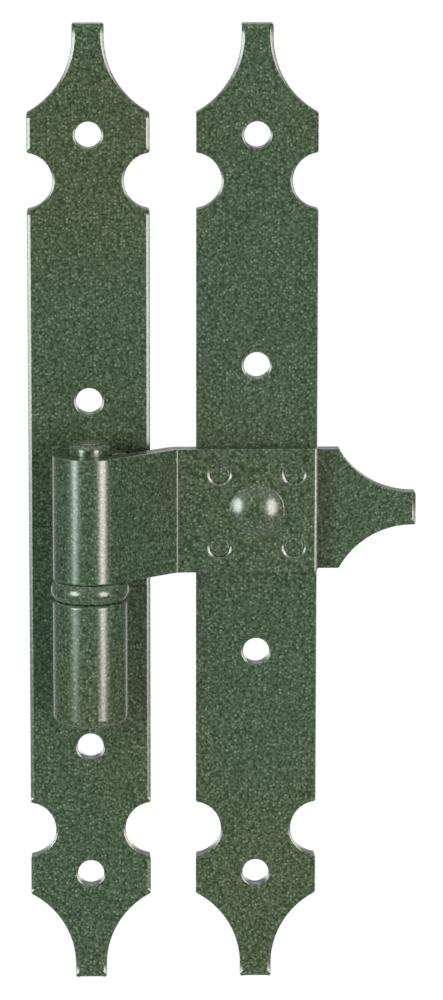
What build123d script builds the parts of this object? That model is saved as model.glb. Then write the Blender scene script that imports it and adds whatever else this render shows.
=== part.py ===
from build123d import *
from math import cos, radians, sin, sqrt, tan
import os

# Lift-off shutter hinge of flat bar, seen with its fronts towards -Y and its pin upright along +Z.
# The origin is the middle of the frame plate's back face. Millimetres and degrees.

# Flat bar that both plates and the strap are cut from
bar_width = 30.0
bar_thickness = 4.0
edge_chamfer = 0.45
corner_round = 0.6

# Plates with a lance at each end
plate_length = 240.0
lance_length = 21.8
lance_tip_width = 7.8
lance_tip_straight = 3.3
notch_radius = 7.0
notch_from_end = 38.4
notch_centre_outside = 0.7

# Screw holes, as heights above and below the middle of the plate
screw_hole_radius = 3.25
end_screw_height = 92.9
frame_upper_screw_height = 27.2
frame_lower_screw_height = 60.2
leaf_mid_screw_height = 36.0

# Leaf plate, with a third lance at its outer side
plate_gap = 11.3
arm_straight = 5.5
arm_lance_length = 19.0
arm_tip_width = 8.2
arm_tip_straight = 0.8

# Pin, ring and knuckles
pin_radius = 5.0
pin_rise = 3.0
pin_top_chamfer = 1.8
pin_foot_recess = 0.5
pin_foot_chamfer = 0.6
knuckle_wall = 4.25
knuckle_length = 31.0
knuckle_chamfer = 0.8
ring_radius = 9.7
ring_thickness = 5.0
ring_chamfer_height = 1.6
ring_chamfer_depth = 0.8
running_clearance = 0.2
stacking_clearance = 0.05
ring_to_plate = 0.4

# Strap: rolled eye, ramp and flat end, a little above the middle of the plates
strap_width = 31.0
strap_rise = 0.3
eye_wrap = 300.0
ramp_angle = 40.0
ramp_bend_radius = 2.2

# Welds between the lower knuckle and the frame plate
weld_inner_reach = 2.0
weld_outer_reach = 6.6
weld_toe = 1.4
weld_bulge = 0.6
weld_end_margin = 1.0

# Rivets through strap and leaf plate
rivet_radius = 2.4
rivet_from_plate_side = 5.8
rivet_from_strap_rim = 6.3
rivet_recess = 0.35
rivet_mouth = 0.45
rivet_clearance = 0.02
centre_rivet_radius = 3.0
centre_head_radius = 7.0
centre_head_height = 2.35

# Tests for picking edges and corners
smooth_angle = 1.0
match_tolerance = 0.01

# Levels, measured from the plates' back face towards the front, and heights along the pin
plate_front = -bar_thickness
strap_front = plate_front - bar_thickness
pin_y = plate_front - ring_to_plate - ring_radius
eye_inner = pin_radius + running_clearance
eye_outer = eye_inner + bar_thickness
knuckle_outer = pin_radius + knuckle_wall
eye_bottom = strap_rise - strap_width / 2
eye_top = strap_rise + strap_width / 2
ring_top = eye_bottom - stacking_clearance
knuckle_top = ring_top - ring_thickness - stacking_clearance
knuckle_bottom = knuckle_top - knuckle_length
leaf_centre_x = bar_width + plate_gap
leaf_outer_x = leaf_centre_x + bar_width / 2


def front_cylinder(radius, x, z, back, front):
    """Round bar along Y between two levels."""
    return Pos(x, back, z) * Rot(90, 0, 0) * Cylinder(
        radius, back - front, align=(Align.CENTER, Align.CENTER, Align.MIN)
    )


def lance_radius(length, tip_width, tip_straight):
    """Radius of the arc that leaves the tip's side tangentially and ends at the shoulder."""
    run = length - tip_straight
    rise = (bar_width - tip_width) / 2
    return (run**2 + rise**2) / (2 * rise)


def lance_sketch(length, tip_width, tip_straight):
    """Lance that points along +Y, with its base of the bar's width on the X axis."""
    radius = lance_radius(length, tip_width, tip_straight)
    run = length - tip_straight
    hollow = Circle(radius)
    side = tip_width / 2 + radius
    base = Rectangle(bar_width, run, align=(Align.CENTER, Align.MIN))
    tip = Rectangle(tip_width, length, align=(Align.CENTER, Align.MIN))
    return base - Pos(side, run) * hollow - Pos(-side, run) * hollow + tip


def plate_sketch():
    """Bar with a lance at each end and a pair of round notches behind each lance."""
    body_length = plate_length - 2 * lance_length
    lance = lance_sketch(lance_length, lance_tip_width, lance_tip_straight)
    sketch = Rectangle(bar_width, body_length)
    sketch += Pos(0, body_length / 2) * lance
    sketch += Pos(0, -body_length / 2) * Rot(0, 0, 180) * lance
    notch_x = bar_width / 2 + notch_centre_outside
    notch_y = plate_length / 2 - notch_from_end
    for x in (-notch_x, notch_x):
        for y in (-notch_y, notch_y):
            sketch -= Pos(x, y) * Circle(notch_radius)
    return sketch


def outline_corners(sketch):
    """Vertices where an outline turns, without those where an arc runs on smoothly."""
    edges = sketch.face().outer_wire().order_edges()
    turns = []
    for before, after in zip(edges, edges[1:] + edges[:1]):
        if (before % 1).get_angle(after % 0) > smooth_angle:
            turns.append(after @ 0)
    return [v for v in sketch.vertices() if any(v.distance_to(turn) < match_tolerance for turn in turns)]


def finish_plate(sketch, holes):
    """Thicken a plate outline, break its front edge and drill its screw holes."""
    outline = fillet(outline_corners(sketch), corner_round)
    plate = extrude(Plane.XZ * outline, bar_thickness)
    front = plate.faces().sort_by(Axis.Y)[0]
    plate = chamfer(front.outer_wire().edges(), edge_chamfer)
    for x, z in holes:
        plate -= front_cylinder(screw_hole_radius, x, z, 0, plate_front)
    return plate


def frame_plate():
    heights = (end_screw_height, frame_upper_screw_height, -frame_lower_screw_height, -end_screw_height)
    return finish_plate(plate_sketch(), [(0, z) for z in heights])


def rivet_places():
    """Names and places of the four flush rivets round the crossing."""
    across = bar_width / 2 - rivet_from_plate_side
    up = strap_width / 2 - rivet_from_strap_rim
    places = {}
    for row, z in (("upper", up), ("lower", -up)):
        for side, x in (("inner", -across), ("outer", across)):
            places[f"rivet_{row}_{side}"] = (leaf_centre_x + x, strap_rise + z)
    return places


def drill_for_rivets(plate, back, front):
    """Holes for the four rivets and the centre rivet between two levels."""
    for x, z in rivet_places().values():
        plate -= front_cylinder(rivet_radius + rivet_clearance, x, z, back, front)
    centre_radius = centre_rivet_radius + rivet_clearance
    return plate - front_cylinder(centre_radius, leaf_centre_x, strap_rise, back, front)


def leaf_plate():
    arm = lance_sketch(arm_lance_length, arm_tip_width, arm_tip_straight)
    arm += Pos(0, -arm_straight / 2) * Rectangle(bar_width, arm_straight)
    sketch = plate_sketch() + Pos(bar_width / 2 + arm_straight, 0) * Rot(0, 0, -90) * arm
    heights = (end_screw_height, leaf_mid_screw_height, -leaf_mid_screw_height, -end_screw_height)
    plate = Pos(leaf_centre_x, 0, 0) * finish_plate(sketch, [(0, z) for z in heights])
    return drill_for_rivets(plate, 0, plate_front)


def strap_side(eye_radius, level, bend_radius):
    """One side of the strap in X and Y: round the eye, down the ramp, along the flat."""
    start_angle = ramp_angle - 90
    tangent = Vector(eye_radius * sin(radians(ramp_angle)), pin_y - eye_radius * cos(radians(ramp_angle)))
    foot_x = tangent.X + (level - tangent.Y) / tan(radians(ramp_angle))
    eye = CenterArc((0, pin_y), eye_radius, start_angle, -eye_wrap)
    ramp = FilletPolyline(tangent, (foot_x, level), (leaf_outer_x, level), radius=bend_radius)
    return Wire([eye, *ramp.edges()])


def strap_front_edges(strap, front_side):
    """Edges of the strap's rims that follow its front side, and the front edge of its cut end."""
    cut_edge = Vector(leaf_outer_x, strap_front, 0)
    chosen = []
    for edge in strap.edges():
        middle = edge @ 0.5
        on_rim = abs(abs(middle.Z) - strap_width / 2) < match_tolerance
        flat_middle = Vector(middle.X, middle.Y, 0)
        follows_front = on_rim and front_side.distance_to(flat_middle) < match_tolerance
        if follows_front or (middle - cut_edge).length < match_tolerance:
            chosen.append(edge)
    return chosen


def hinge_strap():
    """Flat bar rolled into the upper eye, ramped down and laid on the leaf plate."""
    front_side = strap_side(eye_outer, strap_front, ramp_bend_radius)
    back_side = strap_side(eye_inner, plate_front, ramp_bend_radius + bar_thickness)
    roll_end = Line(front_side @ 0, back_side @ 0)
    cut_end = Line(front_side @ 1, back_side @ 1)
    profile = make_face([*front_side.edges(), *back_side.edges(), roll_end, cut_end])
    strap = extrude(profile, strap_width / 2, both=True)
    strap = Pos(0, 0, strap_rise) * chamfer(strap_front_edges(strap, front_side), edge_chamfer)
    strap = drill_for_rivets(strap, plate_front, strap_front)
    hole_radius = rivet_radius + rivet_clearance
    mouth = Cone(
        hole_radius + rivet_mouth, hole_radius, rivet_mouth, align=(Align.CENTER, Align.CENTER, Align.MIN)
    )
    for x, z in rivet_places().values():
        strap -= Pos(x, strap_front, z) * Rot(-90, 0, 0) * mouth
    return strap


def rivet(x, z):
    """Flush rivet, level with the leaf plate's back and a little below the strap's front."""
    return front_cylinder(rivet_radius, x, z, 0, strap_front + rivet_recess)


def centre_rivet():
    """Rivet with a low domed head, flush at the back."""
    dome_radius = (centre_head_radius**2 + centre_head_height**2) / (2 * centre_head_height)
    dome_y = strap_front - centre_head_height + dome_radius
    dome = Pos(leaf_centre_x, dome_y, strap_rise) * Sphere(dome_radius)
    head = dome & front_cylinder(
        centre_head_radius, leaf_centre_x, strap_rise, strap_front, strap_front - centre_head_height
    )
    return head + front_cylinder(centre_rivet_radius, leaf_centre_x, strap_rise, 0, strap_front)


def upright_tube(outer, inner, bottom, top, bevel_height, bevel_depth):
    """Tube turned about the pin's axis, with bevelled outer rims."""
    section = Polyline(
        (inner, bottom),
        (outer - bevel_depth, bottom),
        (outer, bottom + bevel_height),
        (outer, top - bevel_height),
        (outer - bevel_depth, top),
        (inner, top),
        close=True,
    )
    return Pos(0, pin_y, 0) * revolve(Plane.XZ * make_face(section), Axis.Z)


def lower_knuckle():
    return upright_tube(
        knuckle_outer, pin_radius, knuckle_bottom, knuckle_top, knuckle_chamfer, knuckle_chamfer
    )


def thrust_ring():
    return upright_tube(
        ring_radius,
        pin_radius + running_clearance,
        ring_top - ring_thickness,
        ring_top,
        ring_chamfer_height,
        ring_chamfer_depth,
    )


def pintle_pin():
    """Pin pressed into the lower knuckle, with a bevelled top above the eye."""
    bottom = knuckle_bottom + pin_foot_recess
    top = eye_top + pin_rise
    pin = Pos(0, pin_y, bottom) * Cylinder(
        pin_radius, top - bottom, align=(Align.CENTER, Align.CENTER, Align.MIN)
    )
    pin = chamfer(pin.faces().sort_by(Axis.Z)[-1].edges(), pin_top_chamfer)
    return chamfer(pin.faces().sort_by(Axis.Z)[0].edges(), pin_foot_chamfer)


def weld_bead(side):
    """Fillet weld in the crevice between the lower knuckle and the frame plate."""
    knuckle_y = pin_y + sqrt(knuckle_outer**2 - weld_outer_reach**2)
    inner_x = side * weld_inner_reach
    outer_x = side * weld_outer_reach
    toe_x = side * (weld_outer_reach + weld_toe)
    face_middle = (side * (weld_outer_reach + weld_bulge), (knuckle_y + plate_front) / 2)
    outline = [
        Line((inner_x, pin_y), (inner_x, plate_front)),
        Line((inner_x, plate_front), (toe_x, plate_front)),
        ThreePointArc((toe_x, plate_front), face_middle, (outer_x, knuckle_y)),
        Line((outer_x, knuckle_y), (outer_x, pin_y)),
        Line((outer_x, pin_y), (inner_x, pin_y)),
    ]
    length = knuckle_length - 2 * (knuckle_chamfer + weld_end_margin)
    middle = (knuckle_top + knuckle_bottom) / 2
    bead = extrude(make_face(outline), length / 2, both=True)
    return Pos(0, 0, middle) * (bead - Pos(0, pin_y, 0) * Cylinder(knuckle_outer, knuckle_length))


parts = {
    "frame_plate": frame_plate(),
    "lower_knuckle": lower_knuckle(),
    "weld_bead_left": weld_bead(-1),
    "weld_bead_right": weld_bead(1),
    "pintle_pin": pintle_pin(),
    "thrust_ring": thrust_ring(),
    "hinge_strap": hinge_strap(),
    "leaf_plate": leaf_plate(),
    "centre_rivet": centre_rivet(),
}
for name, (x, z) in rivet_places().items():
    parts[name] = rivet(x, z)

os.makedirs("parts", exist_ok=True)
for name, shape in parts.items():
    export_step(shape, f"parts/{name}.step")
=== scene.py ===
import bmesh
import bpy
import numpy as np
from mathutils import Matrix, Vector
from mathutils.geometry import tessellate_polygon


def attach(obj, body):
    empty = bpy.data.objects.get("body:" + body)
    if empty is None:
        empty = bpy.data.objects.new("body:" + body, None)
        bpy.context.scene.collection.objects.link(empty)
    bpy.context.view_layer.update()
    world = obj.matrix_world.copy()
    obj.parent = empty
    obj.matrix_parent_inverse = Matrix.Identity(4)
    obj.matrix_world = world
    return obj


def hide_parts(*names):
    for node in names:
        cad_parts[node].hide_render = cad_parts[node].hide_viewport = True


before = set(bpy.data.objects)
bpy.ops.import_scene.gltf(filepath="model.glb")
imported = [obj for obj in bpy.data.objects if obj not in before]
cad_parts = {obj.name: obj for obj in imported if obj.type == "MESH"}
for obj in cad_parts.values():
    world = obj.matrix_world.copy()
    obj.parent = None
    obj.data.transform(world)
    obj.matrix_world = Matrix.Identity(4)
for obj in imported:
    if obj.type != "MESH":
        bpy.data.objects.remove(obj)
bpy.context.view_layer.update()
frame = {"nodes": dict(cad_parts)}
mm = 0.001  # sizes below are millimetres, the scene is in metres
print("frame loaded:", ", ".join(frame["nodes"]))


# An sRGB hex value such as "3f5340" as linear red, green, blue and alpha.
def linearColour(hexValue):
    srgb = np.array([int(hexValue[i:i + 2], 16) for i in (0, 2, 4)]) / 255
    linear = np.where(srgb <= 0.04045, srgb / 12.92, ((srgb + 0.055) / 1.055) ** 2.4)
    return (*linear.tolist(), 1.0)


# Adds one node with its own settings, and with inputs that are values or sockets to link from.
def addNode(tree, kind, settings=None, inputs=None):
    node = tree.nodes.new(kind)
    for key, value in (settings or {}).items():
        setattr(node, key, value)
    for key, value in (inputs or {}).items():
        if isinstance(value, bpy.types.NodeSocket):
            tree.links.new(value, node.inputs[key])
        else:
            node.inputs[key].default_value = value
    return node


paint = {
    "deep": "142410", "mid": "3e4938", "flakeGlint": "6b7964", "olive": "414332", "cool": "31473e",
    "grainSize": 0.64, "flakeSize": 0.74, "driftSize": 60.0, "peelSize": 1.6,
    "crowding": -0.4, "grainSpan": (0.1, 0.57),  # dark between the clusters, pale within them
    "flakeSpan": (0.5, 1.0), "flakeShare": 0.54, "flakeCore": (0.1, 0.5),  # which clusters get the painted glint colour, how widely
    "driftSpan": (0.35, 0.65), "driftShare": 0.4, "roughSpan": (0.3, 0.7),
    "roughLow": 0.36, "roughHigh": 0.52, "grainHeight": 0.015, "peelHeight": 0.008,
    "coat": 1.0, "coatRoughness": 0.24, "coatIor": 1.5, "underGloss": 0.06,
}


# Micaceous iron-oxide paint, sprayed on steel and stoved: a dark green binder full of small scales that
# lie at all angles, so the eye sees a fine pale grain with single bright scales, drifting between olive
# and blue-green, under a smooth clear gloss that gives long soft-edged reflections. The bright scales are
# partly the scales' own paler colour and partly a painted glint, put into the base colour rather than lit.
# Real scales are about 0.1 mm across; they are drawn in clusters of 0.6 to 0.7 mm, as coarse as they need
# to show in the render.
def micaceousPaint(sizes):
    material = bpy.data.materials.new("micaceousGreenPaint")
    material.use_nodes = True
    tree = material.node_tree
    tree.nodes.clear()
    place = addNode(tree, "ShaderNodeTexCoord").outputs["Object"]
    grain = addNode(tree, "ShaderNodeTexNoise", {"noise_dimensions": "3D"}, {
        "Vector": place, "Scale": 1 / (sizes["grainSize"] * mm), "Detail": 1.0, "Distortion": 0.5})
    scales = addNode(tree, "ShaderNodeTexVoronoi", {"feature": "F1"}, {
        "Vector": place, "Scale": 1 / (sizes["flakeSize"] * mm)})
    drift = addNode(tree, "ShaderNodeTexNoise", {"noise_dimensions": "3D"}, {
        "Vector": place, "Scale": 1 / (sizes["driftSize"] * mm), "Detail": 0.0})
    peel = addNode(tree, "ShaderNodeTexNoise", {"noise_dimensions": "3D"}, {
        "Vector": place, "Scale": 1 / (sizes["peelSize"] * mm), "Detail": 1.0})
    crowd = addNode(tree, "ShaderNodeMath", {"operation": "MULTIPLY_ADD"}, {
        0: scales.outputs["Distance"], 1: sizes["crowding"], 2: grain.outputs["Fac"]})
    grainShare = addNode(tree, "ShaderNodeMapRange", None, {
        "Value": crowd.outputs["Value"],
        "From Min": sizes["grainSpan"][0], "From Max": sizes["grainSpan"][1]})
    # The chosen scale clusters get a pale colour: partly the scales' own colour, partly a painted glint.
    scaleChance = addNode(tree, "ShaderNodeSeparateColor", None, {"Color": scales.outputs["Color"]})
    scaleGlintShare = addNode(tree, "ShaderNodeMapRange", None, {
        "Value": scaleChance.outputs["Red"], "To Max": sizes["flakeShare"],
        "From Min": sizes["flakeSpan"][0], "From Max": sizes["flakeSpan"][1]})
    scaleEdge = addNode(tree, "ShaderNodeMapRange", None, {
        "Value": scales.outputs["Distance"], "To Min": 1.0, "To Max": 0.0,
        "From Min": sizes["flakeCore"][0], "From Max": sizes["flakeCore"][1]})
    scaleGlintMask = addNode(tree, "ShaderNodeMath", {"operation": "MULTIPLY"}, {
        0: scaleGlintShare.outputs["Result"], 1: scaleEdge.outputs["Result"]})
    driftShare = addNode(tree, "ShaderNodeMapRange", {"interpolation_type": "SMOOTHSTEP"}, {
        "Value": drift.outputs["Fac"],
        "From Min": sizes["driftSpan"][0], "From Max": sizes["driftSpan"][1]})
    tint = addNode(tree, "ShaderNodeMix", {"data_type": "RGBA"}, {
        "Factor": driftShare.outputs["Result"],
        6: linearColour(sizes["olive"]), 7: linearColour(sizes["cool"])})
    binder = addNode(tree, "ShaderNodeMix", {"data_type": "RGBA"}, {
        "Factor": sizes["driftShare"], 6: linearColour(sizes["mid"]), 7: tint.outputs[2]})
    body = addNode(tree, "ShaderNodeMix", {"data_type": "RGBA"}, {
        "Factor": grainShare.outputs["Result"], 6: linearColour(sizes["deep"]), 7: binder.outputs[2]})
    # Painted glint: the pale flake colour goes into the base colour of the chosen clusters, in place of
    # scales catching the light.
    colour = addNode(tree, "ShaderNodeMix", {"data_type": "RGBA"}, {
        "Factor": scaleGlintMask.outputs["Value"], 6: body.outputs[2], 7: linearColour(sizes["flakeGlint"])})
    rough = addNode(tree, "ShaderNodeMapRange", None, {
        "Value": grain.outputs["Fac"], "To Min": sizes["roughHigh"], "To Max": sizes["roughLow"],
        "From Min": sizes["roughSpan"][0], "From Max": sizes["roughSpan"][1]})
    peelBump = addNode(tree, "ShaderNodeBump", None, {
        "Strength": 1.0, "Distance": sizes["peelHeight"] * mm, "Height": peel.outputs["Fac"]})
    grainBump = addNode(tree, "ShaderNodeBump", None, {
        "Strength": 1.0, "Distance": sizes["grainHeight"] * mm, "Height": grain.outputs["Fac"],
        "Normal": peelBump.outputs["Normal"]})
    shader = addNode(tree, "ShaderNodeBsdfPrincipled", None, {
        "Base Color": colour.outputs[2], "Roughness": rough.outputs["Result"],
        "Normal": grainBump.outputs["Normal"], "Coat Normal": peelBump.outputs["Normal"],
        "Specular IOR Level": sizes["underGloss"], "Coat Weight": sizes["coat"],
        "Coat Roughness": sizes["coatRoughness"], "Coat IOR": sizes["coatIor"]})
    addNode(tree, "ShaderNodeOutputMaterial", None, {"Surface": shader.outputs["BSDF"]})
    return material


greenPaint = micaceousPaint(paint)
print("paint ready")


# Quads of a grid of points: each joins a point to the next one along both parameters, and a closed
# parameter also joins its last line to its first.
def gridFaces(rows, columns, closedRows=False, closedColumns=False):
    index = np.arange(rows * columns).reshape(rows, columns)
    if closedRows:
        index = np.vstack([index, index[:1]])
    if closedColumns:
        index = np.hstack([index, index[:, :1]])
    return np.stack([index[:-1, :-1], index[:-1, 1:], index[1:, 1:], index[1:, :-1]], axis=-1).reshape(-1, 4)


# Joins patches of points and faces into one closed mesh in metres, with its faces outwards, and puts it
# on its body in place of its node.
def finishPiece(name, patches, body, node):
    starts = np.cumsum([0] + [len(points) for points, faces in patches])
    points = np.vstack([points for points, faces in patches]) * mm
    faces = []
    for start, patch in zip(starts, patches):
        faces += (np.asarray(patch[1]) + start).tolist()
    mesh = bpy.data.meshes.new(name)
    mesh.from_pydata(points.tolist(), [], faces)
    work = bmesh.new()
    work.from_mesh(mesh)
    bmesh.ops.remove_doubles(work, verts=work.verts, dist=1e-6)
    bmesh.ops.recalc_face_normals(work, faces=work.faces)
    work.to_mesh(mesh)
    work.free()
    mesh.shade_smooth()
    mesh.materials.append(greenPaint)
    piece = bpy.data.objects.new(name, mesh)
    bpy.context.scene.collection.objects.link(piece)
    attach(piece, body)
    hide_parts(node)


# Points of an arc in a plane: centre + radius * (cos, sin), then the outward normal, which is the same
# direction on a convex edge (bulge 1) and the opposite one on a hollow edge (bulge -1), then how plain the
# edge is there, from 0 for a full bevel to 1 for a tight punched edge.
def arcRun(centre, radius, start, end, bulge, step, plain=(0, 0)):
    count = max(4, int(np.ceil(abs(end - start) / step)) + 1)
    angle = np.radians(np.linspace(start, end, count))
    direction = np.stack([np.cos(angle), np.sin(angle)], axis=1)
    share = np.linspace(*plain, count)[:, None]
    return np.hstack([np.asarray(centre) + radius * direction, bulge * direction, share])


# Section of an edge as inset against depth, from the front face round to the back face: a blend arc, a
# shallow bevel, a tight arc on to the side and a round at the back, with a flat lip on each face.
def edgeSection(front, back, edge, lip=0.05, steps=5):
    slope = np.radians(edge["slope"])
    soft = np.linspace(0, slope, steps)
    tight = np.linspace(slope, np.pi / 2, steps + 2)
    heel = np.linspace(0, np.pi / 2, steps)
    width = np.concatenate([edge["blend"] * np.sin(soft), edge["blend"] * np.sin(slope) + edge["bevel"]
                            + edge["nose"] * (np.sin(tight) - np.sin(slope))])
    fall = np.concatenate([edge["blend"] * (1 - np.cos(soft)), edge["blend"] * (1 - np.cos(slope))
                           + edge["bevel"] * np.tan(slope) + edge["nose"] * (np.cos(slope) - np.cos(tight))])
    inset = np.concatenate([[width[-1] + lip], width[-1] - width, edge["heel"] * (1 - np.cos(heel)),
                            [edge["heel"] + lip]])
    depth = np.concatenate([[front], front + fall, back - edge["heel"] * (1 - np.sin(heel)), [back]])
    return inset, depth


# Carries an edge section round a loop in the XZ plane: loop point minus inset times its outward normal,
# with the section between the full and the plain one by the loop's own share.
def edgeBand(loop, full, plain):
    inset, depth = (a + (b - a) * loop[:, 4:] for a, b in zip(full, plain))
    flat = loop[:, None, :2] - inset[..., None] * loop[:, None, 2:4]
    return np.stack([flat[..., 0], depth, flat[..., 1]], axis=-1)


# Flat face between a ring of points and the rings of the holes in it, as triangles.
def flatPatch(rings):
    triangles = tessellate_polygon([[Vector((x, z, 0)) for x, y, z in ring] for ring in rings])
    return np.vstack(rings), np.asarray(triangles)


# Plate from loops and their edge sections: a band for each loop, and a flat patch on the front and back.
def platePatches(loops, sections):
    bands = [edgeBand(loop, *pair) for loop, pair in zip(loops, sections)]
    patches = [(band.reshape(-1, 3), gridFaces(*band.shape[:2], closedRows=True)) for band in bands]
    return patches + [flatPatch([band[:, side] for band in bands]) for side in (0, -1)]


# Circle as a loop whose outward normals point into the hole.
def holeLoop(x, z, radius, count=48):
    return arcRun((x, z), radius, 0, -360, -1, 360 / count)[:-1]


sideLip = 0.1  # mm, a short row beside a bend, so that the long straight run next to it shades true
cornerStep, hollowStep, notchStep, rollStep = 12, 2.5, 4, 4  # degrees between the points of an arc


# Half of a lance as half width against distance along it: side, shoulder round, hollow, tip, its corner
# and end. Bevels fade out over the lead before a corner.
def lanceRun(width, length, tip, straight, corner, lead, sidePlain, tipPlain):
    run = length - straight
    radius = (run**2 + (width - tip) ** 2) / (2 * (width - tip))
    hollow = np.array([tip + radius, run])
    across = hollow[0] - (width - corner)
    along = np.sqrt((radius + corner) ** 2 - across**2)
    turn = np.degrees(np.arctan2(along, across))
    return np.vstack([
        [[width, run - along - lead - lip, 1, 0, sidePlain] for lip in (sideLip, 0)],
        arcRun((width - corner, run - along), corner, 0, turn, 1, cornerStep, (1, 1)),
        arcRun(hollow, radius, 180 + turn, 180, -1, hollowStep, (1, tipPlain)),
        [[tip, length - corner - lead * (1 - tipPlain), 1, 0, tipPlain]],
        arcRun((tip - corner, length - corner), corner, 0, 90, 1, cornerStep, (1, 1)),
        [[tip - corner - lead, length, 0, 1, 0]],
    ])


# Upper right quarter of a plate, upwards: corner, round notch whose bevel shows most at its deepest point,
# corner, then the lance at the end.
def quarterRun(sizes):
    width, corner, lead = sizes["width"] / 2, sizes["corner"], sizes["lead"]
    notch = np.array([width + sizes["notchOutside"], sizes["length"] / 2 - sizes["notchFromEnd"]])
    radius, plain = sizes["notchRadius"], sizes["notchPlain"]
    across = notch[0] - (width - corner)
    along = np.sqrt((radius + corner) ** 2 - across**2)
    turn = np.degrees(np.arctan2(along, across))
    lance = lanceRun(width, sizes["lanceLength"], sizes["tipWidth"] / 2, sizes["tipStraight"], corner, lead,
                     sizes["sidePlain"], 0)
    lance[:, 1] += sizes["length"] / 2 - sizes["lanceLength"]
    return np.vstack([
        [[width, notch[1] - along - lead - lip, 1, 0, sizes["sidePlain"]] for lip in (sideLip, 0)],
        arcRun((width - corner, notch[1] - along), corner, 0, turn, 1, cornerStep, (1, 1)),
        arcRun(notch, radius, 180 + turn, 180, -1, notchStep, (1, plain))[:-1],
        arcRun(notch, radius, 180, 180 - turn, -1, notchStep, (plain, 1)),
        arcRun((width - corner, notch[1] + along), corner, -turn, 0, 1, cornerStep, (1, 1)),
        [[width, notch[1] + along + lead + lip, 1, 0, sizes["sidePlain"]] for lip in (0, sideLip)],
        lance,
    ])


# Whole outline, anticlockwise from the right: the quarter and its mirrored copies, every second reversed.
def plateOutline(sizes):
    quarter = quarterRun(sizes)
    flips = ((1, 1), (-1, 1), (-1, -1), (1, -1))
    runs = [quarter * (sx, sz, sx, sz, 1) for sx, sz in flips]
    return np.vstack([runs[0], runs[1][::-1], runs[2], runs[3][::-1]])


framePlate = {
    "width": 30.0, "length": 240.0, "thickness": 4.0, "corner": 0.6, "lead": 0.7, "sidePlain": 0,
    "lanceLength": 21.8, "tipWidth": 7.8, "tipStraight": 3.3,
    "notchRadius": 7.0, "notchFromEnd": 38.4, "notchOutside": 0.7, "notchPlain": 0.4,
    "edge": {"slope": 22.5, "blend": 0.5, "bevel": 0.65, "nose": 0.2, "heel": 0.3},
    "plainEdge": {"slope": 21.0, "blend": 0.12, "bevel": 0.05, "nose": 0.1, "heel": 0.2},
    "screwRim": {"slope": 22.0, "blend": 0.3, "bevel": 0.3, "nose": 0.2, "heel": 0.3},
    "screwRadius": 3.25, "screws": (92.9, 27.2, -60.2, -92.9),
}


def buildFramePlate(sizes):
    front = -sizes["thickness"]
    loops = [plateOutline(sizes)] + [holeLoop(0, z, sizes["screwRadius"]) for z in sizes["screws"]]
    edge, plain, rim = (edgeSection(front, 0, sizes[name]) for name in ("edge", "plainEdge", "screwRim"))
    patches = platePatches(loops, [(edge, plain)] + [(rim, rim)] * len(sizes["screws"]))
    finishPiece("framePlateBar", patches, "frame_leaf", "frame_plate")


buildFramePlate(framePlate)
print("frame plate ready")

leafPlate = {
    **framePlate, "centreX": 41.3, "screws": (92.9, 36.0, -36.0, -92.9), "sidePlain": 1,
    "armStraight": 5.5, "armLance": 19.0, "armTip": 8.2, "armTipStraight": 0.8,
    "rivetRadius": 2.42, "rivetSpacing": 18.4, "rivetRise": 0.3, "centreRadius": 3.02,
    "rivetRim": {"slope": 30.0, "blend": 0.25, "bevel": 0.0, "nose": 0.25, "heel": 0.25},
}


# Places of the four flush rivets round the crossing, by node name.
def rivetPlaces(sizes):
    half = sizes["rivetSpacing"] / 2
    return {
        f"rivet_{row}_{side}": (sizes["centreX"] + across * half, sizes["rivetRise"] + up * half)
        for row, up in (("upper", 1), ("lower", -1)) for side, across in (("inner", -1), ("outer", 1))
    }


# Outline with a third lance on the right: hollow corner, lower half of the lance, upper half, hollow corner.
def leafOutline(sizes):
    width, corner = sizes["width"] / 2, sizes["corner"]
    lance = lanceRun(width, sizes["armLance"], sizes["armTip"] / 2, sizes["armTipStraight"], corner,
                     sizes["lead"], 1, 1)
    base = width + sizes["armStraight"]
    lower = np.stack([base + lance[:, 1], -lance[:, 0], lance[:, 3], -lance[:, 2], lance[:, 4]], axis=1)
    upper = lower[::-1] * (1, -1, 1, -1, 1)
    outline = np.vstack([
        plateOutline(sizes),
        arcRun((width + corner, -width - corner), corner, 180, 90, -1, cornerStep, (1, 1)), lower, upper,
        arcRun((width + corner, width + corner), corner, 270, 180, -1, cornerStep, (1, 1)),
    ])
    return outline + (sizes["centreX"], 0, 0, 0, 0)


def buildLeafPlate(sizes):
    front = -sizes["thickness"]
    screws = [holeLoop(sizes["centreX"], z, sizes["screwRadius"]) for z in sizes["screws"]]
    rivets = [holeLoop(x, z, sizes["rivetRadius"], count=32) for x, z in rivetPlaces(sizes).values()]
    rivets.append(holeLoop(sizes["centreX"], sizes["rivetRise"], sizes["centreRadius"], count=32))
    names = ("edge", "plainEdge", "screwRim", "rivetRim")
    edge, plain, rim, bore = (edgeSection(front, 0, sizes[name]) for name in names)
    sections = [(edge, plain)] + [(rim, rim)] * len(screws) + [(bore, bore)] * len(rivets)
    patches = platePatches([leafOutline(sizes), *screws, *rivets], sections)
    finishPiece("leafPlateBar", patches, "shutter_leaf", "leaf_plate")


buildLeafPlate(leafPlate)
print("leaf plate ready")


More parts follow.
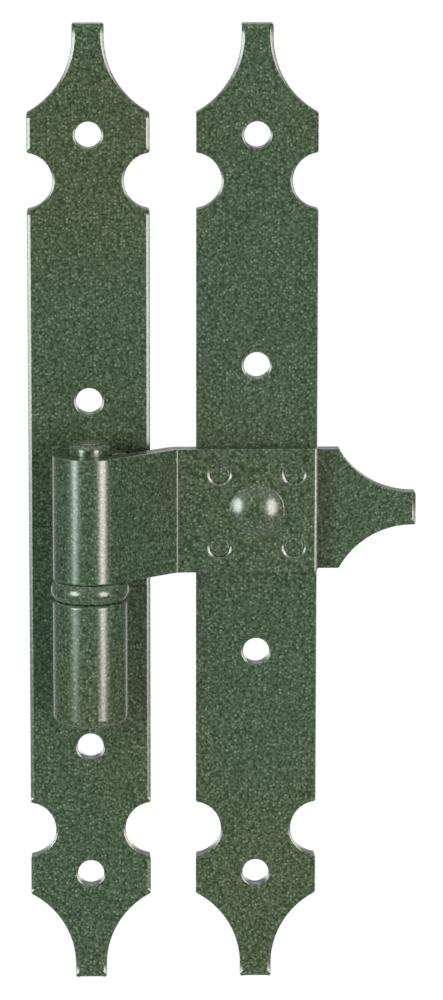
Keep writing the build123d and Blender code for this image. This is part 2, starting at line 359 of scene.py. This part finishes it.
# Rounds the inner corners of a line of points: at each an arc of its radius, worked out by turning from
# one tangent point to the other about the arc's centre, with a short flat lip on both sides.
def roundedRun(corners, radii, steps=6, lip=0.05, closed=False):
    corners, radii = np.asarray(corners, float), np.asarray(radii, float)
    back = np.roll(corners, 1, axis=0) - corners
    ahead = np.roll(corners, -1, axis=0) - corners
    chosen = slice(None) if closed else slice(1, -1)
    middle, radius = corners[chosen], radii[chosen, None]
    back = (back / np.linalg.norm(back, axis=1, keepdims=True))[chosen]
    ahead = (ahead / np.linalg.norm(ahead, axis=1, keepdims=True))[chosen]
    half = np.arccos(np.clip(np.sum(back * ahead, axis=1, keepdims=True), -1, 1)) / 2
    inwards = (back + ahead) / np.linalg.norm(back + ahead, axis=1, keepdims=True)
    centre = middle + inwards * radius / np.sin(half)
    reach = radius / np.tan(half)
    first, last = middle + back * reach - centre, middle + ahead * reach - centre
    sweep = (np.pi - 2 * half)[:, None]
    share = np.linspace(0, 1, steps + 1)[None, :, None]
    turn = np.sin((1 - share) * sweep) * first[:, None] + np.sin(share * sweep) * last[:, None]
    before, after = middle + back * (reach + lip), middle + ahead * (reach + lip)
    arcs = np.concatenate([before[:, None], centre[:, None] + turn / np.sin(sweep), after[:, None]], axis=1)
    arcs = arcs.reshape(-1, 2)
    return arcs if closed else np.vstack([corners[:1], arcs, corners[-1:]])


strap = {
    "width": 31.0, "thickness": 4.0, "rise": 0.3, "pinY": -14.1, "bore": 5.2, "wrap": 300.0, "ramp": 40.0,
    "bendRadius": 0.9, "backLevel": -4.0, "endX": 56.3, "frontRound": 0.25, "backRound": 0.25,
    "cutEdge": {"slope": 21.0, "blend": 0.4, "bevel": 0.5, "nose": 0.3, "heel": 0.1},
    "cutBackShare": 0.2, "rollRound": 0.4, "leastRound": 0.04,
    "mouth": {"slope": 22.0, "blend": 0.5, "bevel": 0.5, "nose": 0.1, "heel": 0.05},
    "plainMouth": {"slope": 30.0, "blend": 0.1, "bevel": 0.0, "nose": 0.1, "heel": 0.05},
}


# Mid-line of the strap as rows of x, y and the normal to its front: round the eye, down the ramp, through
# the bend and along the flat, with short lips where an arc meets a straight run.
def strapPath(sizes):
    half, slope = sizes["thickness"] / 2, np.radians(sizes["ramp"])
    start = sizes["ramp"] - 90
    eye = arcRun((0, sizes["pinY"]), sizes["bore"] + half, start - sizes["wrap"], start, 1, rollStep)[:, :4]
    facing = np.array([np.sin(slope), -np.cos(slope)])
    along = np.array([np.cos(slope), np.sin(slope)])
    bend = sizes["bendRadius"] + half
    level = sizes["backLevel"] - half
    lift = level - bend - sizes["pinY"]
    bendX = (sizes["bore"] + half + bend - facing[1] * lift) / facing[0]
    angle = np.radians(np.linspace(sizes["ramp"], 0, 11))
    normal = np.stack([np.sin(angle), -np.cos(angle)], axis=1)
    foot = np.hstack([np.array([bendX, level - bend]) - bend * normal, normal])
    lip = along * sideLip
    rampLips = np.array([[*(eye[-1, :2] + lip), *facing], [*(foot[0, :2] - lip), *facing]])
    flatStart = np.array([[bendX + sideLip, level, 0, -1]])
    return np.vstack([eye, rampLips, foot, flatStart])


# Section of the strap as rounded rectangle: depth towards the front against height, drawn in by inset.
def strapSection(sizes, inset, backShare):
    front, back = sizes["thickness"] / 2 - inset, -sizes["thickness"] / 2 + inset * backShare
    top = sizes["width"] / 2 - inset
    corners = [(front, top), (back, top), (back, -top), (front, -top)]
    radii = np.maximum([sizes["frontRound"] - inset, sizes["backRound"] - inset] * 2, sizes["leastRound"])
    return roundedRun(corners, radii[[0, 1, 3, 2]], closed=True)


# Strap: the section carried along the mid-line, drawn in round its two ends, with a flat patch on the
# front and back of the straight end where the rivets go through.
def buildStrap(sizes, plate):
    path = strapPath(sizes)
    level = sizes["backLevel"] - sizes["thickness"] / 2
    turn = np.radians(np.linspace(0, 90, 7))
    rollTangent = np.array([path[0, 3], -path[0, 2]])
    rows = []
    for t in turn[::-1]:
        push = sizes["rollRound"] * (np.sin(t) - 1)
        shift = np.array([*(path[0, :2] + rollTangent * push), *path[0, 2:]])
        rows.append((shift, strapSection(sizes, sizes["rollRound"] * (1 - np.cos(t)), 1.0)))
    rows += [(row, strapSection(sizes, 0, 1.0)) for row in path[3:]]  # the first three are in the rounded end
    firstFlat = len(rows) - 1
    cutInset, cutDepth = edgeSection(0, sizes["thickness"] / 2, sizes["cutEdge"])
    forward = cutDepth < sizes["thickness"] / 4
    for fromEnd, fall in zip(cutInset[forward], cutDepth[forward]):
        section = strapSection(sizes, fall, sizes["cutBackShare"])
        rows.append((np.array([sizes["endX"] - fromEnd, level, 0, -1]), section))
    middle = np.array([row for row, section in rows])
    section = np.array([section for row, section in rows])
    flat = middle[:, None, :2] + section[..., :1] * middle[:, None, 2:]
    grid = np.concatenate([flat, section[..., 1:] + sizes["rise"]], axis=-1)
    count, columns = grid.shape[:2]
    faces = gridFaces(count, columns, closedColumns=True).reshape(count - 1, columns, 4)
    frontPanel, backPanel = columns - 1, columns // 2 - 1
    keep = np.ones((count - 1, columns), bool)
    keep[firstFlat, [frontPanel, backPanel]] = False
    patches = [(grid.reshape(-1, 3), faces[keep])]
    front, back = level - sizes["thickness"] / 2, sizes["backLevel"]
    mouth, plainMouth = (edgeSection(front, back, sizes[name]) for name in ("mouth", "plainMouth"))
    holes = [holeLoop(x, z, plate["rivetRadius"], count=40) for x, z in rivetPlaces(plate).values()]
    bands = [edgeBand(hole, mouth, mouth) for hole in holes]
    centreHole = holeLoop(plate["centreX"], plate["rivetRise"], plate["centreRadius"], count=40)
    bands.append(edgeBand(centreHole, plainMouth, plainMouth))
    patches += [(band.reshape(-1, 3), gridFaces(*band.shape[:2], closedRows=True)) for band in bands]
    for column, ring in ((frontPanel, 0), (backPanel, -1)):
        after = (column + 1) % columns
        corners = np.array([grid[firstFlat, column], grid[firstFlat + 1, column],
                            grid[firstFlat + 1, after], grid[firstFlat, after]])
        patches.append(flatPatch([corners] + [band[:, ring] for band in bands]))
    for end in (0, count - 1):
        patches.append((grid[end], np.arange(columns)[None]))
    finishPiece("strapRolled", patches, "shutter_leaf", "hinge_strap")


buildStrap(strap, leafPlate)
print("strap ready")


# Turned piece: each profile point of radius and height goes round an axis that is upright or runs to the
# front, through the given centre.
def turnedPatch(profile, centre, upright, closedProfile, count=96):
    angle = np.linspace(0, 2 * np.pi, count, endpoint=False)
    radius, height = profile[:, :1], np.broadcast_to(profile[:, 1:], (len(profile), count))
    across, around = radius * np.cos(angle), radius * np.sin(angle)
    points = np.stack([across, around, height] if upright else [across, -height, around], axis=-1)
    grid = points + np.asarray(centre)
    return grid.reshape(-1, 3), gridFaces(len(profile), count, closedProfile, True)


knuckle = {"pinY": strap["pinY"], "outer": 9.25, "bore": 5.0, "bottom": -51.3, "top": -20.3,
           "foot": 2.0, "rim": 0.9, "mouth": 0.3}


def buildKnuckle(sizes):
    corners = [(sizes["bore"], sizes["bottom"]), (sizes["outer"], sizes["bottom"]),
               (sizes["outer"], sizes["top"]), (sizes["bore"], sizes["top"])]
    profile = roundedRun(corners, [sizes["mouth"], sizes["foot"], sizes["rim"], sizes["mouth"]], closed=True)
    patch = turnedPatch(profile, (0, sizes["pinY"], 0), True, True)
    finishPiece("knuckleBush", [patch], "frame_leaf", "lower_knuckle")


ring = {"pinY": strap["pinY"], "outer": 9.7, "bore": 5.2, "bottom": -20.25, "top": -15.25,
        "bulge": 1.0, "rim": 0.35, "rimOut": 0.6, "rimUp": 0.12, "lip": 0.05}


# Ring with a bulged rim: the radius falls off with the square of the height from the middle.
def buildRing(sizes):
    middle, half = (sizes["top"] + sizes["bottom"]) / 2, (sizes["top"] - sizes["bottom"]) / 2
    height = np.linspace(-half + sizes["rim"] / 2, half - sizes["rim"] / 2, 17)
    rim = np.stack([sizes["outer"] - sizes["bulge"] * (height / half) ** 2, middle + height], axis=1)
    flat = sizes["outer"] - sizes["bulge"] - sizes["rim"]
    shoulder = (flat + sizes["rim"] * sizes["rimOut"], sizes["bottom"] + sizes["rim"] * sizes["rimUp"])
    below = [(sizes["bore"], sizes["bottom"]), (flat - sizes["lip"], sizes["bottom"]),
             (flat, sizes["bottom"]), shoulder]
    above = [(r, 2 * middle - z) for r, z in below[::-1]]
    patch = turnedPatch(np.vstack([below, rim, above]), (0, sizes["pinY"], 0), True, True)
    finishPiece("thrustRingTurned", [patch], "thrust_ring", "thrust_ring")


pin = {"pinY": strap["pinY"], "radius": 5.0, "bottom": -50.8, "top": 18.8, "topRound": 1.7, "footRound": 0.6}


def buildPin(sizes):
    corners = [(0, sizes["bottom"]), (sizes["radius"], sizes["bottom"]), (sizes["radius"], sizes["top"]),
               (0, sizes["top"])]
    profile = roundedRun(corners, [0, sizes["footRound"], sizes["topRound"], 0], steps=10)
    patch = turnedPatch(profile, (0, sizes["pinY"], 0), True, False, count=72)
    finishPiece("pinTurned", [patch], "frame_leaf", "pintle_pin")


buildKnuckle(knuckle)
buildRing(ring)
buildPin(pin)
print("knuckle, ring and pin ready")

flushRivet = {"radius": 2.4, "front": 7.65, "dish": 0.12, "frontRound": 0.3, "backRound": 0.2}


# Flush rivet: a round bar whose hammered front is slightly dished, and level with the plate at the back.
def buildFlushRivets(sizes, plate):
    edge = sizes["radius"]
    corners = [(0, 0), (edge, 0), (edge, sizes["front"]), (0, sizes["front"] - sizes["dish"])]
    profile = roundedRun(corners, [0, sizes["backRound"], sizes["frontRound"], 0], steps=4)
    for node, (x, z) in rivetPlaces(plate).items():
        words = node.split("_")
        name = "flushRivet" + "".join(word.capitalize() for word in words[1:])
        patch = turnedPatch(profile, (x, 0, z), False, False, count=40)
        finishPiece(name, [patch], "shutter_leaf", node)


domeRivet = {"shank": 3.0, "head": 7.0, "headHeight": 2.35, "level": 8.0, "rim": 0.2, "rimRise": 0.6,
             "neckRound": 0.02, "backRound": 0.25}


# Domed rivet: shank, flat under-side of the head, a small upright rim, then a cap of a sphere.
def buildDomeRivet(sizes, plate):
    head, rise = sizes["head"], sizes["headHeight"]
    radius = (head**2 + rise**2) / (2 * rise)
    limit = np.arcsin((head - sizes["rim"]) / radius)
    polar = np.linspace(limit, 0, 25)
    cap = np.stack([radius * np.sin(polar), sizes["level"] + rise - radius * (1 - np.cos(polar))], axis=1)
    turn = np.radians(np.linspace(-80, 60, 6))
    bead = np.stack([head - sizes["rim"] + sizes["rim"] * np.cos(turn),
                     sizes["level"] + sizes["rim"] * sizes["rimRise"] * (1 + np.sin(turn))], axis=1)
    corners = [(0, 0), (sizes["shank"], 0), (sizes["shank"], sizes["level"]),
               (head - sizes["rim"], sizes["level"])]
    foot = roundedRun(corners, [0, sizes["backRound"], sizes["neckRound"], 0], steps=4)
    profile = np.vstack([foot, bead, cap])
    centre = (plate["centreX"], 0, plate["rivetRise"])
    finishPiece("domeRivet", [turnedPatch(profile, centre, False, False)], "shutter_leaf", "centre_rivet")


buildFlushRivets(flushRivet, leafPlate)
buildDomeRivet(domeRivet, leafPlate)
print("rivets ready")

weld = {"inner": 2.0, "outer": 6.6, "toe": 1.4, "bulge": 0.48, "facing": (0.94, -0.33), "middle": -35.8,
        "length": 27.4, "plate": -4.0, "rippleLength": 1.7, "ripple": 0.16, "rippleMiddle": 0.6,
        "endRound": 1.2, "endShare": 0.35, "rootInset": 1.2}


# Weld: the crevice's section carried along the knuckle, its face swelling in scalloped ripples and both
# ends rounding off.
def buildWeld(sizes, bush, side, name, node):
    along = np.linspace(-sizes["length"] / 2, sizes["length"] / 2, 120)
    fade = np.clip((sizes["length"] / 2 - np.abs(along)) / sizes["endRound"], 0, 1)
    end = sizes["endShare"] + (1 - sizes["endShare"]) * np.sqrt(1 - (1 - fade) ** 2)
    scallop = np.abs(np.sin(np.pi * along / sizes["rippleLength"]))
    ripple = sizes["ripple"] * (scallop - sizes["rippleMiddle"])
    share = np.linspace(0, 1, 13)
    reach = bush["pinY"] + np.sqrt(bush["outer"] ** 2 - sizes["outer"] ** 2)
    toe = np.array([sizes["outer"] + sizes["toe"], sizes["plate"]])
    crown = np.array([sizes["outer"], reach])
    bow = 4 * share * (1 - share)
    chord = toe + (crown - toe) * share[:, None]
    swell = (sizes["bulge"] + ripple)[:, None] * bow
    face = chord[None] + swell[..., None] * np.array(sizes["facing"])
    root = np.array([sizes["outer"], sizes["plate"]]) - sizes["rootInset"]
    face = root + (face - root) * end[:, None, None]
    x = np.linspace(sizes["outer"], sizes["inner"], 7)
    seat = np.stack([x, bush["pinY"] + np.sqrt(bush["outer"] ** 2 - x**2)], axis=1)
    seat = np.vstack([seat, [[sizes["inner"], sizes["plate"]]]])
    seat = np.broadcast_to(seat, (len(along), *seat.shape))
    loop = np.concatenate([face, seat], axis=1) * (side, 1)
    height = np.broadcast_to((sizes["middle"] + along)[:, None, None], (*loop.shape[:2], 1))
    grid = np.concatenate([loop, height], axis=-1)
    rows, columns = grid.shape[:2]
    patches = [(grid.reshape(-1, 3), gridFaces(rows, columns, closedColumns=True))]
    patches += [(grid[row], np.arange(columns)[None]) for row in (0, rows - 1)]
    finishPiece(name, patches, "frame_leaf", node)


buildWeld(weld, knuckle, -1, "weldRunLeft", "weld_bead_left")
buildWeld(weld, knuckle, 1, "weldRunRight", "weld_bead_right")
print("welds ready")

view = {"place": (-1.8907, -1099.973, 210.729), "yaw": 0.0314937, "pitch": -0.187823, "roll": 0.00124874,
        "lens": 162.38, "sensor": 36.0}


# Camera at the photograph's viewing angle: yaw and pitch set the way it looks, roll turns it about that.
def buildCamera(sizes):
    yaw, pitch, roll = sizes["yaw"], sizes["pitch"], sizes["roll"]
    ahead = np.array([np.sin(yaw) * np.cos(pitch), np.cos(yaw) * np.cos(pitch), np.sin(pitch)])
    level = np.array([np.cos(yaw), -np.sin(yaw), 0])
    upright = np.cross(level, ahead)
    right = np.cos(roll) * level + np.sin(roll) * upright
    up = -np.sin(roll) * level + np.cos(roll) * upright
    data = bpy.data.cameras.new("photoCamera")
    data.lens, data.sensor_width, data.sensor_fit = sizes["lens"], sizes["sensor"], "AUTO"
    data.clip_start, data.clip_end = 0.05, 100
    camera = bpy.data.objects.new("photoCamera", data)
    turn = Matrix(np.stack([right, up, -ahead], axis=1).tolist()).to_4x4()
    camera.matrix_world = Matrix.Translation(Vector(sizes["place"]) * mm) @ turn
    bpy.context.scene.collection.objects.link(camera)
    bpy.context.scene.camera = camera


buildCamera(view)
print("camera ready")

studio = {
    "left": {"azimuth": -46.0, "elevation": 4.2, "distance": 1.2,
             "size": (0.50, 0.68), "power": 21.0, "colour": "e2f0e8"},
    "right": {"azimuth": 39.5, "elevation": 1.2, "distance": 1.2,
              "size": (0.50, 0.80), "power": 19.4, "colour": "fff8f3"},
    "back": {"azimuth": 180.0, "elevation": 48.0, "distance": 2.0,
             "size": (1.8, 1.4), "power": 25.0, "colour": "ffffff"},
    "leftRoom": 0.15, "rightRoom": 0.12, "backRoom": 0.28, "ceiling": 1.4, "table": 0.7, "paper": 2.2,
    "backdrop": 1.0,  # how bright each part of the room is
    "sideX": (-0.85, -0.1), "backY": (-0.2, 0.3), "ceilingZ": (0.1, 0.7), "tableZ": (-0.4, -0.75),
    "paperY": (0.7, 0.95), "paperZ": (0.02, -0.1),  # where each begins and is full, along a direction's axes
    "floorHeight": -0.35, "floorRadius": 0.62, "floorColour": "f6f6f4", "floorRoughness": 0.9,
}


# A soft box on a sphere round the object, facing its middle.
def buildLamp(name, sizes):
    azimuth, elevation = np.radians(sizes["azimuth"]), np.radians(sizes["elevation"])
    reach = np.cos(elevation)
    away = Vector((np.sin(azimuth) * reach, -np.cos(azimuth) * reach, np.sin(elevation)))
    data = bpy.data.lights.new(name, "AREA")
    data.shape, (data.size, data.size_y) = "ELLIPSE", sizes["size"]
    data.energy, data.color = sizes["power"], linearColour(sizes["colour"])[:3]
    lamp = bpy.data.objects.new(name, data)
    lamp.location = away * sizes["distance"]
    lamp.rotation_mode = "QUATERNION"
    lamp.rotation_quaternion = away.to_track_quat("Z", "Y")
    bpy.context.scene.collection.objects.link(lamp)


# A dim room between a pale ceiling and a pale table, lighter on the left, with bright white paper low behind
# the object; seen directly it is white all round.
def buildWorld(sizes):
    world = bpy.data.worlds.new("studioRoom")
    world.use_nodes = True
    tree = world.node_tree
    tree.nodes.clear()
    direction = addNode(tree, "ShaderNodeTexCoord").outputs["Generated"]
    parts = addNode(tree, "ShaderNodeSeparateXYZ", None, {"Vector": direction})
    behind = addNode(tree, "ShaderNodeMapRange", {"interpolation_type": "SMOOTHSTEP"}, {
        "Value": parts.outputs["Y"], "From Min": sizes["paperY"][0], "From Max": sizes["paperY"][1]})
    low = addNode(tree, "ShaderNodeMapRange", {"interpolation_type": "SMOOTHSTEP"}, {
        "Value": parts.outputs["Z"], "From Min": sizes["paperZ"][0], "From Max": sizes["paperZ"][1]})
    paper = addNode(tree, "ShaderNodeMath", {"operation": "MULTIPLY"}, {
        0: behind.outputs["Result"], 1: low.outputs["Result"]})
    front = addNode(tree, "ShaderNodeMapRange", {"interpolation_type": "SMOOTHSTEP"}, {
        "Value": parts.outputs["X"], "From Min": sizes["sideX"][0], "From Max": sizes["sideX"][1],
        "To Min": sizes["leftRoom"], "To Max": sizes["rightRoom"]})
    room = addNode(tree, "ShaderNodeMapRange", {"interpolation_type": "SMOOTHSTEP"}, {
        "Value": parts.outputs["Y"], "From Min": sizes["backY"][0], "From Max": sizes["backY"][1],
        "To Min": front.outputs["Result"], "To Max": sizes["backRoom"]})
    upper = addNode(tree, "ShaderNodeMapRange", {"interpolation_type": "SMOOTHSTEP"}, {
        "Value": parts.outputs["Z"], "From Min": sizes["ceilingZ"][0], "From Max": sizes["ceilingZ"][1],
        "To Min": room.outputs["Result"], "To Max": sizes["ceiling"]})
    under = addNode(tree, "ShaderNodeMapRange", {"interpolation_type": "SMOOTHSTEP"}, {
        "Value": parts.outputs["Z"], "From Min": sizes["tableZ"][0], "From Max": sizes["tableZ"][1],
        "To Min": upper.outputs["Result"], "To Max": sizes["table"]})
    share = addNode(tree, "ShaderNodeMapRange", None, {
        "Value": paper.outputs["Value"], "To Min": under.outputs["Result"], "To Max": sizes["paper"]})
    seen = addNode(tree, "ShaderNodeLightPath").outputs["Is Camera Ray"]
    strength = addNode(tree, "ShaderNodeMix", {"data_type": "FLOAT"}, {
        "Factor": seen, "A": share.outputs["Result"], "B": sizes["backdrop"]})
    background = addNode(tree, "ShaderNodeBackground", None, {
        "Color": linearColour("ffffff"), "Strength": strength.outputs["Result"]})
    addNode(tree, "ShaderNodeOutputWorld", None, {"Surface": background.outputs["Background"]})
    bpy.context.scene.world = world


# Round pale floor, low enough that the view shows none of the shadow on it.
def buildFloor(sizes):
    rim = arcRun((0, 0), sizes["floorRadius"], 0, 360, 1, step=3)[:-1, :2]
    mesh = bpy.data.meshes.new("paleFloor")
    mesh.from_pydata([(x, y, sizes["floorHeight"]) for x, y in rim.tolist()], [], [range(len(rim))])
    material = bpy.data.materials.new("paleStudioPaper")
    material.use_nodes = True
    shader = material.node_tree.nodes["Principled BSDF"]
    shader.inputs["Base Color"].default_value = linearColour(sizes["floorColour"])
    shader.inputs["Roughness"].default_value = sizes["floorRoughness"]
    mesh.materials.append(material)
    floor = bpy.data.objects.new("paleFloor", mesh)
    floor.visible_glossy = False  # the paint mirrors the room alone
    bpy.context.scene.collection.objects.link(floor)


for side in ("left", "right", "back"):
    buildLamp("softBox" + side.capitalize(), studio[side])
buildWorld(studio)
buildFloor(studio)
bpy.context.scene.view_settings.view_transform = "Standard"
print("studio ready")

bpy.context.view_layer.update()
